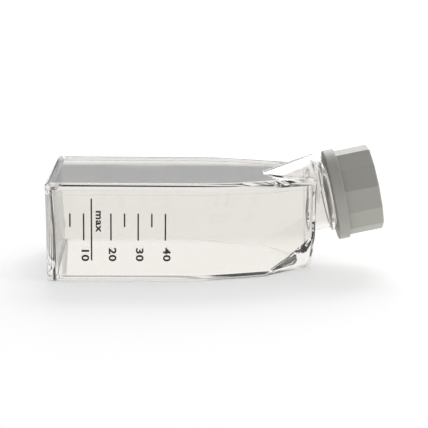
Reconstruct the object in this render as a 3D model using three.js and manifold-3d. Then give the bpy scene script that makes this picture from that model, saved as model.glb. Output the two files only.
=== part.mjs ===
// A 25 cm² cell culture flask: a moulded tray with a canted neck, a welded top
// plate with a stacking rim, and a vented screw cap with its filter disc.
// Millimetres. +X runs from the back of the flask to the neck, +Z is up, and
// the origin is on the flat base, halfway along the top plate.

import * as THREE from "three";
import { mergeVertices } from "three/addons/utils/BufferGeometryUtils.js";
import Module from "manifold-3d";

const wasm = await Module();
wasm.setup();

const { lerp, clamp, degToRad } = THREE.MathUtils;

// ---------------------------------------------------------------- dimensions

// Top plate, seen from above
const PLATE_LENGTH = 80.1;
const PLATE_WIDTH = 50;
const PLATE_NOSE_WIDTH = 29; // where the tapered sides reach the neck end
const PLATE_SHOULDER = 53; // back edge to the start of the taper
const FLASK_HEIGHT = 29; // base to the top of the stacking rim
const RIM_WIDTH = 2.1;
const RIM_RISE = 0.6; // rim above the deck
const DECK_THICKNESS = 1.4;
const PLATE_DEPTH = 3.2; // rim top to the seam where the plate meets the tray
const PLATE_LIP = 0.12; // how far the plate stands out from the tray wall

// Tray
const WALL = 1.25; // at the seam
const BACK_WALL = 1.65; // the back wall is thicker
const FLOOR = 1.4;
const DRAFT = 0.38; // each wall's outer face leans in by this much from seam to base
const CAVITY_DRAFT = 1.3; // and its inner face by this much
const SHOULDER_SLANT = 7.65; // the taper starts this much nearer the back at the base
const SHOULDER_SOFTNESS = 3.5; // length over which the shoulder is rounded off
const BACK_CORNER_R = 2.3;
const NOSE_CORNER_R = 0.6;
const BASE_EDGE_R = 1;
const FRONT_EDGE_R = 2; // where the base turns up into the end wall
const NOSE_SWEEP = 15.2; // length over which the lower corners grow towards the end wall
const NOSE_SWEEP_HEIGHT = 11.4; // what each has grown to at the end wall
const NOSE_SWEEP_WIDTH = 9.5;
const NOSE_BOW = 0.65; // 1 would round the corner off fully, 0 would leave a plain bevel
const BEVEL_HEIGHT = 12.1; // the plain bevel inside it, counted from the outer faces
const BEVEL_WIDTH = 11;
const SMALLEST_FILLET = 0.6;
const SMALLEST_FLAT = 0.4; // half-width of floor left between the swept corners

// Raised roof that carries the top plate up and over the neck
const ROOF_LENGTH = 15;
const ROOF_MARGIN = 2.2; // its foot to the plate's edge at the neck end
const ROOF_WALL = 1.2;
const ROOF_LIP = 0.8; // how far the roof runs on past the end wall
const ROOF_TIP = 0.04; // share of its full section that the roof starts from

// Collar on the front of the roof, round the upper half of the neck
const COLLAR_SPACE = 3.1; // neck to the inside of the collar
const COLLAR_WALL = 1.6;
const COLLAR_LENGTH = 1.95;
const COLLAR_SINK = 0.55; // its centre below the neck's axis
const COLLAR_TIP = 0.3; // share of that length left at the collar's ends
const COLLAR_END_ANGLE = 8; // degrees above its centre where the collar ends
const COLLAR_UNDERCUT = 20; // degrees that its front face leans back below

// Neck. Lengths along it are counted from the plane of the cap's open end.
const NECK_TILT = 12; // degrees above the horizontal
const NECK_DROP = 7.55; // rim top down to the centre of the cap's open end
const NECK_R = 9.8;
const NECK_WALL = 1.4;
const NECK_EDGE = 0.4; // chamfer on the mouth and on the bead
const NECK_BEAD_HEIGHT = 0.9;
const NECK_BEAD_WIDTH = 1.2;
const NECK_BEAD_GAP = 0.6; // bead to the cap's open end

// Screw thread, shared by the neck and the cap
const THREAD_STARTS = 3;
const THREAD_PITCH = 3;
const THREAD_HEIGHT = 1.1;
const THREAD_ROOT = 1.5; // width of a rib where it leaves the wall
const THREAD_CREST = 0.8;
const THREAD_TURN = 200; // degrees that each rib runs round
const THREAD_FADE = 25; // degrees over which a rib runs out at each end
const THREAD_TIP = 0.1; // share of its height left at a rib's ends
const THREAD_FROM = 3.55; // middle of a neck rib's start, from the cap's open end
const THREAD_GAP = 0.35; // radial clearance
const THREAD_SUNK = 0.4; // depth of a rib's foot inside the wall it stands on

// Cap
const CAP_LENGTH = 13.9;
const CAP_WALL = 1.4; // where it is thinnest
const CAP_FACETS = 12;
const CAP_FACET_TURN = -11.5; // degrees by which the screwed-home cap's facets are turned
const CAP_END = 1.5; // thickness of the end wall
const CAP_EDGE = 0.5; // rounding of the outer edges
const CAP_RING_LENGTH = 3.35;
const CAP_RING_STEP = 0.8; // flange ring beyond the facets' corners
const CAP_STANDOFF = 0.77; // flange ring to the collar
const DISH_BORDER = 3.25; // facets to the shallow dish in the end face
const DISH_DEPTH = 0.5;
const VENT_COUNT = 6; // round a central one
const VENT_R = 1.7;
const VENT_MARGIN = 1.2; // filter's edge beyond the vents
const SEAL_WIDTH = 0.8; // ring inside the cap that closes on the neck's mouth
const SEAL_LENGTH = 1.3;
const FILTER_THICKNESS = 0.4;

// Clearances
const SEAT_GAP = 0.2; // end wall to roof
const TURNED_GAP = 0.3; // between pieces stacked along the canted neck
const OVERRUN = 1; // how far a cutting form runs on past what it cuts

// ------------------------------------------------------------ derived values

const backX = -PLATE_LENGTH / 2;
const endX = PLATE_LENGTH / 2 - PLATE_LIP; // outer face of the end wall
const deckZ = FLASK_HEIGHT - RIM_RISE;
const underDeck = deckZ - DECK_THICKNESS;
const seamZ = FLASK_HEIGHT - PLATE_DEPTH;
const trayHalf = PLATE_WIDTH / 2 - PLATE_LIP; // at the seam
const trayNoseHalf = PLATE_NOSE_WIDTH / 2 - PLATE_LIP;
const taperLength = endX - backX - PLATE_SHOULDER;

// The tray's outer surface, and the cavity that the tray and the plate share
const outside = {
  inset: 0, back: 0, draft: DRAFT,
  bow: NOSE_BOW, width: NOSE_SWEEP_WIDTH, height: NOSE_SWEEP_HEIGHT,
};
const cavity = {
  inset: WALL, back: BACK_WALL, draft: CAVITY_DRAFT,
  bow: 0, width: BEVEL_WIDTH, height: BEVEL_HEIGHT,
};

const boreR = NECK_R - NECK_WALL;
const beadR = NECK_R + NECK_BEAD_HEIGHT;
const filterR = boreR - TURNED_GAP;
const capBoreR = NECK_R + THREAD_HEIGHT + THREAD_GAP;
const capFacetR = capBoreR + CAP_WALL; // at the middle of a facet
const capVertexR = capFacetR / Math.cos(Math.PI / CAP_FACETS);
const capRingR = capVertexR + CAP_RING_STEP;
const dishR = capFacetR - DISH_BORDER;
const ventCircleR = filterR - VENT_MARGIN - VENT_R;
const capEndAt = CAP_LENGTH - CAP_END; // inner face of the cap's end wall
const mouthAt = capEndAt - SEAL_LENGTH - TURNED_GAP;
const threadLead = THREAD_STARTS * THREAD_PITCH;

const tilt = degToRad(NECK_TILT);
const collarR = NECK_R + COLLAR_SPACE + COLLAR_WALL;
const collarX = endX + TURNED_GAP;
const neckX = collarX + COLLAR_LENGTH + CAP_STANDOFF + capRingR * Math.sin(tilt);
const neckZ = FLASK_HEIGHT - NECK_DROP;
const neckRootZ = neckZ - (neckX - endX) * Math.tan(tilt); // its axis at the end wall
const collarZ = neckRootZ - COLLAR_SINK;
const roofRise = collarZ + collarR - deckZ; // the roof's crown meets the collar's
const roofHalf = PLATE_NOSE_WIDTH / 2 - ROOF_MARGIN;

// Frame of the neck: local +Z runs out along it, local -X is its upper side.
const neckFrame = new THREE.Group();
neckFrame.position.set(neckX, 0, neckZ);
neckFrame.rotation.y = Math.PI / 2 - tilt;
neckFrame.updateMatrix();

// ------------------------------------------------------------------- helpers

/** A closed three.js geometry as a solid that can be joined and cut. */
function solid(geometry) {
  const bare = new THREE.BufferGeometry();
  bare.setAttribute("position", geometry.getAttribute("position"));
  bare.setIndex(geometry.getIndex());
  const merged = mergeVertices(bare);
  const corners = merged.getIndex().array;
  const kept = [];
  for (let i = 0; i < corners.length; i += 3) {
    const [a, b, c] = [corners[i], corners[i + 1], corners[i + 2]];
    if (a !== b && b !== c && c !== a) kept.push(a, b, c);
  }
  return new wasm.Manifold(new wasm.Mesh({
    numProp: 3,
    vertProperties: merged.getAttribute("position").array,
    triVerts: new Uint32Array(kept),
  }));
}

/** A named mesh made from a finished solid. */
function piece(name, body, material) {
  const { vertProperties, triVerts } = body.getMesh();
  const geometry = new THREE.BufferGeometry();
  geometry.setAttribute("position", new THREE.BufferAttribute(vertProperties, 3));
  geometry.setIndex(new THREE.BufferAttribute(triVerts, 1));
  geometry.computeVertexNormals();
  const mesh = new THREE.Mesh(geometry, material);
  mesh.name = name;
  return mesh;
}

/** All of the solids joined into one. */
function joined(bodies) {
  return bodies.reduce((all, body) => all.add(body));
}

/** A solid made round local +Z, placed in the neck's frame. */
function onNeck(body) {
  return body.transform(neckFrame.matrix.toArray());
}

/** Moves every vertex of a geometry to place(x, y, z). */
function reshape(geometry, place) {
  const position = geometry.getAttribute("position");
  for (let i = 0; i < position.count; i++) {
    position.setXYZ(i, ...place(position.getX(i), position.getY(i), position.getZ(i)));
  }
  return geometry;
}

/** A block from one x and z to another, reaching half to each side. */
function slab(fromX, toX, fromZ, toZ, half = PLATE_WIDTH) {
  const block = new THREE.BoxGeometry(toX - fromX, 2 * half, toZ - fromZ);
  return solid(block.translate((fromX + toX) / 2, 0, (fromZ + toZ) / 2));
}

/** Extrudes a shape drawn in (x, y) from z = from to z = to. */
function upright(shape, from, to) {
  const geometry = new THREE.ExtrudeGeometry(shape, { depth: to - from, bevelEnabled: false });
  return solid(geometry.translate(0, 0, from));
}

/** A ring or plug round local +Z, turned from a closed profile of [radius, along]. */
function turned(profile, segments = 60) {
  const points = profile.map(([radius, along]) => new THREE.Vector2(radius, along));
  const geometry = new THREE.LatheGeometry([...points, points[0]], segments);
  return solid(geometry.rotateX(Math.PI / 2)); // from round Y to round Z
}

// ----------------------------------------------------------------- tray form

/** Where the tapered sides begin, at height fraction t of the tray. */
function shoulderX(t) {
  return backX + PLATE_SHOULDER - SHOULDER_SLANT * (1 - t);
}

/** A form's back face at height fraction t. */
function backWallX(t, form) {
  return backX + PLATE_LIP + form.back + form.draft * (1 - t);
}

/** What a corner of the given radius takes off, at a distance from its face. */
function cornerLoss(distance, radius) {
  const rest = clamp(radius - distance, 0, radius);
  return radius - Math.sqrt(radius * radius - rest * rest);
}

/** Half-width of a form at x and height fraction t. */
function halfWidth(x, t, form) {
  const slope = (trayHalf - trayNoseHalf) / (endX - shoulderX(t));
  const past = x - shoulderX(t);
  const soft = Math.hypot(past, SHOULDER_SOFTNESS);
  const localSlope = slope * (1 + past / soft) / 2;
  const backCorner = Math.max(BACK_CORNER_R - form.inset, SMALLEST_FILLET);
  const noseCorner = Math.max(NOSE_CORNER_R - form.inset, SMALLEST_FILLET / 2);
  return trayHalf - form.draft * (1 - t) - slope * (past + soft) / 2
    - form.inset * Math.hypot(1, localSlope)
    - cornerLoss(x - backWallX(t, form), backCorner)
    - cornerLoss(endX - form.inset - x, noseCorner);
}

/** Places along the tray: 0 at the back wall, 1 at the shoulder, 2 at the end wall. */
function trayStations() {
  const stations = new Set([0.4, 0.72]);
  const cornerSteps = 5;
  for (let k = 0; k <= cornerSteps; k++) {
    const bend = 1 - Math.cos(k / cornerSteps * Math.PI / 2);
    stations.add(BACK_CORNER_R * bend / PLATE_SHOULDER);
    stations.add(2 - NOSE_CORNER_R * bend / taperLength);
  }
  const shoulderSteps = 3;
  const shoulderReach = 2 * SHOULDER_SOFTNESS;
  for (let k = 0; k <= shoulderSteps; k++) {
    stations.add(1 - k / shoulderSteps * shoulderReach / PLATE_SHOULDER);
    stations.add(1 + k / shoulderSteps * shoulderReach / taperLength);
  }
  const sweepSteps = 9;
  const sweepFrom = 2 - NOSE_SWEEP / (taperLength + SHOULDER_SLANT);
  const sweepTo = 2 - NOSE_CORNER_R / taperLength;
  for (let k = 0; k < sweepSteps; k++) stations.add(lerp(sweepFrom, sweepTo, k / sweepSteps));
  return [...stations].sort((a, b) => a - b);
}

/** The x of a station on a form at height fraction t. */
function stationX(station, t, form) {
  return station < 1
    ? lerp(backWallX(t, form), shoulderX(t), station)
    : lerp(shoulderX(t), endX - form.inset, station - 1);
}

/** A tray section in unit measure: a rectangle whose lower corners take a share of it. */
function unitSection(share) {
  const right = new THREE.QuadraticBezierCurve(
    new THREE.Vector2(1 - share, 0), new THREE.Vector2(1, 0), new THREE.Vector2(1, share),
  ).getPoints(7);
  const left = right.map((p) => new THREE.Vector2(-p.x, p.y)).reverse();
  return new THREE.Shape([...right, new THREE.Vector2(1, 1), new THREE.Vector2(-1, 1), ...left]);
}

/**
 * A form of the tray as a closed solid from z = low to z = high.
 * A unit section is extruded along the stations and then stretched: the walls
 * lean, the shoulder slants and the lower corners sweep up to the end wall.
 */
function trayForm(form, low, high) {
  const share = 0.5; // of the unit section, for each lower corner
  const stations = trayStations();
  const steps = stations.length - 1;
  const geometry = new THREE.ExtrudeGeometry(unitSection(share), {
    depth: steps, steps, bevelEnabled: false,
  });
  const backEdge = Math.max(BASE_EDGE_R - form.inset, SMALLEST_FILLET);
  const frontEdge = FRONT_EDGE_R - form.inset;

  return solid(reshape(geometry, (u, v, w) => {
    const station = stations[Math.round(w)];
    const baseX = stationX(station, 0, form);
    const sweep = clamp((baseX - endX + NOSE_SWEEP) / NOSE_SWEEP, 0, 1);
    const wide = lerp(BASE_EDGE_R, form.width, sweep) - form.inset;
    const tall = lerp(BASE_EDGE_R, form.height, sweep) - form.inset;
    const widest = halfWidth(baseX, 0, form) - SMALLEST_FLAT;
    const cornerWide = clamp(wide, SMALLEST_FILLET, widest);
    const lift = cornerLoss(baseX - backWallX(0, form), backEdge)
      + cornerLoss(endX - form.inset - baseX, frontEdge);
    const foot = low + lift;
    const cornerTop = Math.max(low + tall, foot + SMALLEST_FILLET);

    const turn = Math.sqrt(Math.min(v / share, 1)); // along the corner, from base to wall
    const z = v < share
      ? lerp(foot, cornerTop, turn * turn)
      : lerp(cornerTop, high, (v - share) / (1 - share));
    const bow = lerp(1, form.bow, Math.min(sweep * 8, 1));
    const out = 2 * turn * (1 - turn) * bow + turn * turn;
    const x = stationX(station, z / seamZ, form);
    const y = halfWidth(x, z / seamZ, form) - cornerWide * (1 - out);
    return [x, Math.sign(u) * y, z];
  }));
}

// ----------------------------------------------------------------- roof form

/**
 * The raised roof's form, its surface moved in by inset, standing on z = foot.
 * A circular arch is extruded to x = to and tapered: its crown climbs in a
 * straight line while its foot spreads in a half ellipse.
 */
function roofForm(inset, foot, to) {
  const half = roofHalf - inset;
  const rise = roofRise - inset;
  const radius = (half * half + rise * rise) / (2 * rise);
  const spring = Math.asin(half / radius);
  const archPoints = 20;
  const arch = [];
  for (let k = 0; k <= archPoints; k++) {
    const angle = lerp(spring, -spring, k / archPoints);
    const height = rise - radius * (1 - Math.cos(angle));
    arch.push(new THREE.Vector2(radius * Math.sin(angle), 1 + height));
  }
  // Below the arch the shape is drawn 1 mm tall, and stretched to its real depth.
  const shape = new THREE.Shape([new THREE.Vector2(-half, 0), new THREE.Vector2(half, 0), ...arch]);
  const geometry = new THREE.ExtrudeGeometry(shape, { depth: 1, steps: 12, bevelEnabled: false });
  const from = endX - ROOF_LENGTH + inset;
  return solid(reshape(geometry, (y, z, w) => {
    const along = (to - from) * (1 - Math.cos(w * Math.PI / 2));
    const share = clamp(along / (endX - from), ROOF_TIP, 1);
    const spread = Math.sqrt(1 - (1 - share) ** 2);
    const height = z > 1 ? deckZ + (z - 1) * share : lerp(foot, deckZ, z);
    return [from + along, y * spread, height];
  }));
}

// -------------------------------------------------------------------- thread

/** Ribs on a wall of radius wall, rising by height; height < 0 points inwards. */
function threadRibs(wall, height, from) {
  const foot = -Math.sign(height) * THREAD_SUNK;
  const profile = new THREE.Shape([
    new THREE.Vector2(foot, -THREAD_ROOT / 2), new THREE.Vector2(height, -THREAD_CREST / 2),
    new THREE.Vector2(height, THREAD_CREST / 2), new THREE.Vector2(foot, THREAD_ROOT / 2),
  ]);
  const ribs = [];
  for (let start = 0; start < THREAD_STARTS; start++) {
    const rib = new THREE.ExtrudeGeometry(profile, { depth: 1, steps: 24, bevelEnabled: false });
    ribs.push(solid(reshape(rib, (out, along, w) => {
      const turn = w * THREAD_TURN;
      const fade = clamp(Math.min(turn, THREAD_TURN - turn) / THREAD_FADE, THREAD_TIP, 1);
      const radius = wall + (out * height > 0 ? out * fade : out);
      const angle = degToRad(turn + start * 360 / THREAD_STARTS);
      const rise = from + along + threadLead * turn / 360;
      return [radius * Math.cos(angle), radius * Math.sin(angle), rise];
    })));
  }
  return joined(ribs);
}

// -------------------------------------------------------------------- pieces

/** The tray: floor, walls and end wall, with the threaded neck moulded on. */
function makeTray() {
  const endWall = slab(endX - WALL, endX, 0, 2 * FLASK_HEIGHT);
  const endArch = roofForm(ROOF_WALL + SEAT_GAP, seamZ - OVERRUN, endX).intersect(endWall);
  const hollow = trayForm(cavity, FLOOR, underDeck);

  const rootAt = -2 * (neckX - endX) - NECK_R; // well inside the tray
  const beadTo = -NECK_BEAD_GAP;
  const beadFrom = beadTo - NECK_BEAD_WIDTH;
  const tube = onNeck(turned([
    [0, rootAt], [NECK_R, rootAt], [NECK_R, beadFrom - NECK_EDGE], [beadR, beadFrom],
    [beadR, beadTo], [NECK_R, beadTo + NECK_EDGE], [NECK_R, mouthAt - NECK_EDGE],
    [NECK_R - NECK_EDGE, mouthAt], [0, mouthAt],
  ]));
  const insideTray = slab(-2 * PLATE_LENGTH, endX - WALL / 2, -FLASK_HEIGHT, 2 * FLASK_HEIGHT);
  const ribs = onNeck(threadRibs(NECK_R, THREAD_HEIGHT, THREAD_FROM));
  const bore = onNeck(turned([
    [0, rootAt], [boreR, rootAt], [boreR, mouthAt - NECK_EDGE], [boreR + NECK_EDGE, mouthAt],
    [boreR + NECK_EDGE, mouthAt + OVERRUN], [0, mouthAt + OVERRUN],
  ]));

  return trayForm(outside, 0, seamZ).add(endArch).subtract(hollow)
    .add(tube.subtract(insideTray)).add(ribs).subtract(bore);
}

/** The flask's outline at the seam, moved in by inset from the plate's edge. */
function plateOutline(inset) {
  const form = { ...outside, inset: inset - PLATE_LIP, back: inset - PLATE_LIP };
  const right = trayStations().map((station) => {
    const x = stationX(station, 1, form);
    return new THREE.Vector2(x, -halfWidth(x, 1, form));
  });
  const left = right.map((p) => new THREE.Vector2(p.x, -p.y)).reverse();
  return new THREE.Shape([...right, ...left]);
}

/** The half collar: a ring whose front face leans back towards its two ends. */
function makeCollar() {
  const end = degToRad(COLLAR_END_ANGLE);
  const ring = new THREE.Shape();
  ring.absarc(0, collarZ, collarR, end, Math.PI - end, false);
  ring.absarc(0, collarZ, collarR - COLLAR_WALL, Math.PI - end, end, true);
  const geometry = new THREE.ExtrudeGeometry(ring, {
    depth: COLLAR_LENGTH, bevelEnabled: false, curveSegments: 32,
  });
  return solid(reshape(geometry, (y, z, x) => {
    const below = x > 0 ? Math.max(0, collarZ + collarR / 2 - z) : 0;
    const front = x - below * Math.tan(degToRad(COLLAR_UNDERCUT));
    return [collarX + Math.max(front, x * COLLAR_TIP), y, z];
  }));
}

/** The top plate: deck, stacking rim, the walls' upper edge, raised roof and half collar. */
function makeTopPlate() {
  const block = upright(plateOutline(0), seamZ, FLASK_HEIGHT);
  const recess = upright(plateOutline(RIM_WIDTH), deckZ, 2 * FLASK_HEIGHT);
  const hollow = trayForm(cavity, FLOOR, underDeck);
  const roof = roofForm(0, deckZ - DECK_THICKNESS / 2, endX + ROOF_LIP);
  const roofHollow = roofForm(ROOF_WALL, seamZ - OVERRUN, endX + ROOF_LIP + OVERRUN);
  return block.subtract(recess).add(roof).subtract(roofHollow).subtract(hollow)
    .add(makeCollar());
}

/** The cap's outside: a flange ring, then facets with rounded end edges. */
function capBlock() {
  const edge = CAP_EDGE;
  const ring = turned([
    [0, 0], [capRingR - edge / 2, 0], [capRingR, edge / 2], [capRingR, CAP_RING_LENGTH - edge],
    [capRingR - 0.3 * edge, CAP_RING_LENGTH - 0.3 * edge], [capRingR - edge, CAP_RING_LENGTH],
    [0, CAP_RING_LENGTH],
  ], 72);
  const corners = Array.from({ length: CAP_FACETS }, (_, k) => {
    const spoke = new THREE.Vector2(capVertexR - edge, 0);
    const angle = k / CAP_FACETS * 2 * Math.PI + degToRad(CAP_FACET_TURN);
    return spoke.rotateAround(new THREE.Vector2(), angle);
  });
  const from = CAP_RING_LENGTH / 2;
  const facets = new THREE.ExtrudeGeometry(new THREE.Shape(corners), {
    depth: CAP_LENGTH - from - 2 * edge,
    bevelEnabled: true, bevelSize: edge, bevelThickness: edge, bevelSegments: 3,
  });
  return ring.add(solid(facets.translate(0, 0, from + edge)));
}

/** Round holes through the cap's end wall, one in the middle and the rest in a circle. */
function capVents() {
  const vents = [];
  for (let k = 0; k <= VENT_COUNT; k++) {
    const spoke = new THREE.Vector2(k < VENT_COUNT ? ventCircleR : 0, 0);
    spoke.rotateAround(new THREE.Vector2(), k / VENT_COUNT * 2 * Math.PI);
    const hole = new THREE.CylinderGeometry(VENT_R, VENT_R, CAP_END + 2 * OVERRUN, 18);
    hole.rotateX(Math.PI / 2).translate(spoke.x, spoke.y, CAP_LENGTH - CAP_END / 2);
    vents.push(solid(hole));
  }
  return joined(vents);
}

/** The cap: threaded and vented, with a ring inside that closes on the neck's mouth. */
function makeCap() {
  const bore = turned([
    [0, -OVERRUN], [capBoreR, -OVERRUN], [capBoreR, capEndAt], [0, capEndAt],
  ]);
  const seal = turned([
    [boreR, capEndAt - SEAL_LENGTH], [boreR + SEAL_WIDTH, capEndAt - SEAL_LENGTH],
    [boreR + SEAL_WIDTH, capEndAt + CAP_END / 4], [boreR, capEndAt + CAP_END / 4],
  ]);
  const dish = turned([
    [0, CAP_LENGTH - DISH_DEPTH], [dishR - CAP_EDGE, CAP_LENGTH - DISH_DEPTH],
    [dishR, CAP_LENGTH], [dishR, CAP_LENGTH + OVERRUN], [0, CAP_LENGTH + OVERRUN],
  ]);
  const ribs = threadRibs(capBoreR, -THREAD_HEIGHT, THREAD_FROM - THREAD_PITCH / 2);
  return capBlock().subtract(bore).add(seal).add(ribs).subtract(dish).subtract(capVents());
}

/** The filter disc that closes the vents from inside. */
function makeFilter() {
  const top = capEndAt - TURNED_GAP;
  return turned([
    [0, top - FILTER_THICKNESS], [filterR, top - FILTER_THICKNESS], [filterR, top], [0, top],
  ]);
}

// ------------------------------------------------------------------ assembly

const clearPolystyrene = new THREE.MeshStandardMaterial({
  color: 0xe9e7e3, roughness: 0.08, metalness: 0, transparent: true, opacity: 0.35,
});
const greyPolyethylene = new THREE.MeshStandardMaterial({
  color: 0x93938b, roughness: 0.5, metalness: 0,
});
const whiteMembrane = new THREE.MeshStandardMaterial({
  color: 0xf2f2ee, roughness: 0.95, metalness: 0,
});

const flask = new THREE.Group();
flask.add(piece("flask_tray", makeTray(), clearPolystyrene));
flask.add(piece("top_plate", makeTopPlate(), clearPolystyrene));
neckFrame.add(piece("screw_cap", makeCap(), greyPolyethylene));
neckFrame.add(piece("filter_disc", makeFilter(), whiteMembrane));
flask.add(neckFrame);

export default flask;
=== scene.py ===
"""A clear polystyrene cell culture flask with a printed scale and a grey vented screw cap.

The clear mouldings and the cap are remade here with the fine rounding that real mouldings
have. Lengths are in millimetres until a mesh is made, and in metres in Blender.
+X runs from the back of the flask to the neck, +Z is up, and the base lies on z = 0.
"""

import math

import bmesh
import bpy
from mathutils import Matrix, Vector


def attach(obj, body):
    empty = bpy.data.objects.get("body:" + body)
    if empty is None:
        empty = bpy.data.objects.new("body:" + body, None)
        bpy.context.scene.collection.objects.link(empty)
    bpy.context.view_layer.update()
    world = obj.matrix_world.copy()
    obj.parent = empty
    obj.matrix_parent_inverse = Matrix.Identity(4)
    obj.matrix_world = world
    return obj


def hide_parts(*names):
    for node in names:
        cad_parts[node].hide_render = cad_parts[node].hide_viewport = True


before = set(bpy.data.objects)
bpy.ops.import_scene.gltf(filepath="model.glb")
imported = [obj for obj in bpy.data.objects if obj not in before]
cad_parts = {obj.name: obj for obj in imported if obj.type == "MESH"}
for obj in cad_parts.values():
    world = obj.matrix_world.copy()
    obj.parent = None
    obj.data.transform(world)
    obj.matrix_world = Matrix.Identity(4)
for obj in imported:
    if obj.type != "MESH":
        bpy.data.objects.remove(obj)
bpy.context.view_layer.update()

MM = 0.001

# ---------------------------------------------------------------- dimensions

# Top plate
PLATE_LENGTH = 80.1
PLATE_WIDTH = 50
PLATE_NOSE_WIDTH = 29
PLATE_SHOULDER = 53
FLASK_HEIGHT = 29
RIM_RISE = 0.6
RIM_BEVEL_WIDTH = 0.9  # the bevel along the plate's outer edge
RIM_BEVEL_HEIGHT = 0.7
RIM_BEVEL_R = 0.1
RIM_TOP = 2.6  # from the outer edge to the inner edge of the rim's top
RIM_LEAN = 0.04  # how much higher the rim's top is along the bevel
RIM_INNER_R = 0.25
SEAM_EDGE_R = 0.1
DECK_THICKNESS = 1.4
PLATE_DEPTH = 3.2
PLATE_LIP = 0.12
PLATE_DRAFT = 0.005  # its outer face's inset at the seam, and half its inset at the bevel's foot

# Tray
WALL = 1.25
BACK_WALL = 1.65
FLOOR = 1.4
DRAFT = 0.38
CAVITY_DRAFT = 1.3
SHOULDER_SLANT = 7.65
SHOULDER_SOFTNESS = 3.5
BACK_CORNER_R = 2.3
NOSE_CORNER_R = 0.6
BASE_EDGE_R = 1
FRONT_EDGE_R = 2
NOSE_SWEEP = 15.2
NOSE_SWEEP_HEIGHT = 11.4
NOSE_SWEEP_WIDTH = 10.2
NOSE_BOW = 0.33  # 1 would round the corner off fully, 0 would leave a plain bevel
BOW_PART = 0.125  # part of the sweep over which the edge's rounding turns into that bow
BEVEL_HEIGHT = 12.1
BEVEL_WIDTH = 11.8
SMALLEST_FILLET = 0.6
SMALLEST_FLAT = 0.4
WELD_GAP = 0.03  # film of air that a weld leaves along the top of the walls

# Raised roof and collar
ROOF_LENGTH = 15
ROOF_MARGIN = 2.2
ROOF_WALL = 1.2
ROOF_LIP = 0.8
ROOF_TIP = 0.04
COLLAR_SPACE = 3.1
COLLAR_WALL = 1.6
COLLAR_LENGTH = 1.95
COLLAR_SINK = 0.55
COLLAR_TIP = 0.3
COLLAR_END_ANGLE = math.radians(8)
COLLAR_UNDERCUT = math.radians(20)
COLLAR_EDGE_R = 0.25

# Neck and thread, counted along the neck from the cap's open end
NECK_TILT = math.radians(12)
NECK_DROP = 7.55
NECK_R = 9.8
NECK_WALL = 1.4
NECK_EDGE_R = 0.35
MOUTH_FLARE = 0.35
NECK_BEAD_HEIGHT = 0.9
NECK_BEAD_WIDTH = 1.2
NECK_BEAD_GAP = 0.6
NECK_BEAD_FLANK = 0.2
THREAD_STARTS = 3
THREAD_PITCH = 3
THREAD_HEIGHT = 1.1
THREAD_ROOT = 1.5
THREAD_CREST = 0.8
THREAD_CHAMFER = 0.25  # depth of the crest's chamfers
THREAD_CHAMFER_FROM = 0.15  # where each starts, outside the crest's width
THREAD_CHAMFER_TO = 0.1  # and where it ends, inside it
THREAD_TURN = 200
THREAD_FADE = 25
THREAD_TIP = 0.1
THREAD_FROM = 3.55
THREAD_GAP = 0.35
THREAD_SUNK = 0.4

# Cap
CAP_LENGTH = 13.9
CAP_WALL = 1.4
CAP_FACETS = 12
CAP_FACET_TURN = math.radians(-11.5)
CAP_END = 1.5
CAP_EDGE_R = 0.55
CAP_RIDGE_R = 0.45  # rounding where two facets meet
CAP_RIDGE_FADE = 0.4  # how fast it narrows over the rounded edge of the end
CAP_RIDGE_LEAST_R = 0.15
CAP_FACE_INSET = 4  # a ring of points inside the end face, which keeps its shading flat
CAP_RING_LENGTH = 3.35
CAP_RING_STEP = 0.8
CAP_STANDOFF = 0.77
DISH_BORDER = 3.25
DISH_DEPTH = 0.5
DISH_EDGE_R = 0.2
VENT_COUNT = 6
VENT_R = 1.7
VENT_MARGIN = 1.2
SEAL_WIDTH = 0.8
SEAL_LENGTH = 1.3
SEAL_EDGE_R = 0.25

# Clearances, and what the pieces share
SEAT_GAP = 0.2
TURNED_GAP = 0.3
OVERRUN = 1  # how far a cutting form runs on past what it cuts
SMALL_R = 0.3  # rounding of the neck's and the cap's small corners
SHARPEST = math.radians(24)  # faces that meet at less than this are shaded as one

# Derived places
BACK_X = -PLATE_LENGTH / 2
END_X = PLATE_LENGTH / 2 - PLATE_LIP
DECK_Z = FLASK_HEIGHT - RIM_RISE
UNDER_DECK = DECK_Z - DECK_THICKNESS
SEAM_Z = FLASK_HEIGHT - PLATE_DEPTH
TRAY_HALF = PLATE_WIDTH / 2 - PLATE_LIP
TRAY_NOSE_HALF = PLATE_NOSE_WIDTH / 2 - PLATE_LIP
TAPER_LENGTH = END_X - BACK_X - PLATE_SHOULDER
BORE_R = NECK_R - NECK_WALL
BEAD_R = NECK_R + NECK_BEAD_HEIGHT
FILTER_R = BORE_R - TURNED_GAP
CAP_BORE_R = NECK_R + THREAD_HEIGHT + THREAD_GAP
CAP_FACET_R = CAP_BORE_R + CAP_WALL
CAP_VERTEX_R = CAP_FACET_R / math.cos(math.pi / CAP_FACETS)
CAP_RING_R = CAP_VERTEX_R + CAP_RING_STEP
DISH_R = CAP_FACET_R - DISH_BORDER
VENT_CIRCLE_R = FILTER_R - VENT_MARGIN - VENT_R
CAP_END_AT = CAP_LENGTH - CAP_END
MOUTH_AT = CAP_END_AT - SEAL_LENGTH - TURNED_GAP
THREAD_LEAD = THREAD_STARTS * THREAD_PITCH
COLLAR_R = NECK_R + COLLAR_SPACE + COLLAR_WALL
COLLAR_X = END_X + TURNED_GAP
NECK_X = COLLAR_X + COLLAR_LENGTH + CAP_STANDOFF + CAP_RING_R * math.sin(NECK_TILT)
NECK_Z = FLASK_HEIGHT - NECK_DROP
NECK_ROOT_Z = NECK_Z - (NECK_X - END_X) * math.tan(NECK_TILT)
COLLAR_Z = NECK_ROOT_Z - COLLAR_SINK
ROOF_RISE = COLLAR_Z + COLLAR_R - DECK_Z
ROOF_HALF = PLATE_NOSE_WIDTH / 2 - ROOF_MARGIN

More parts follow.
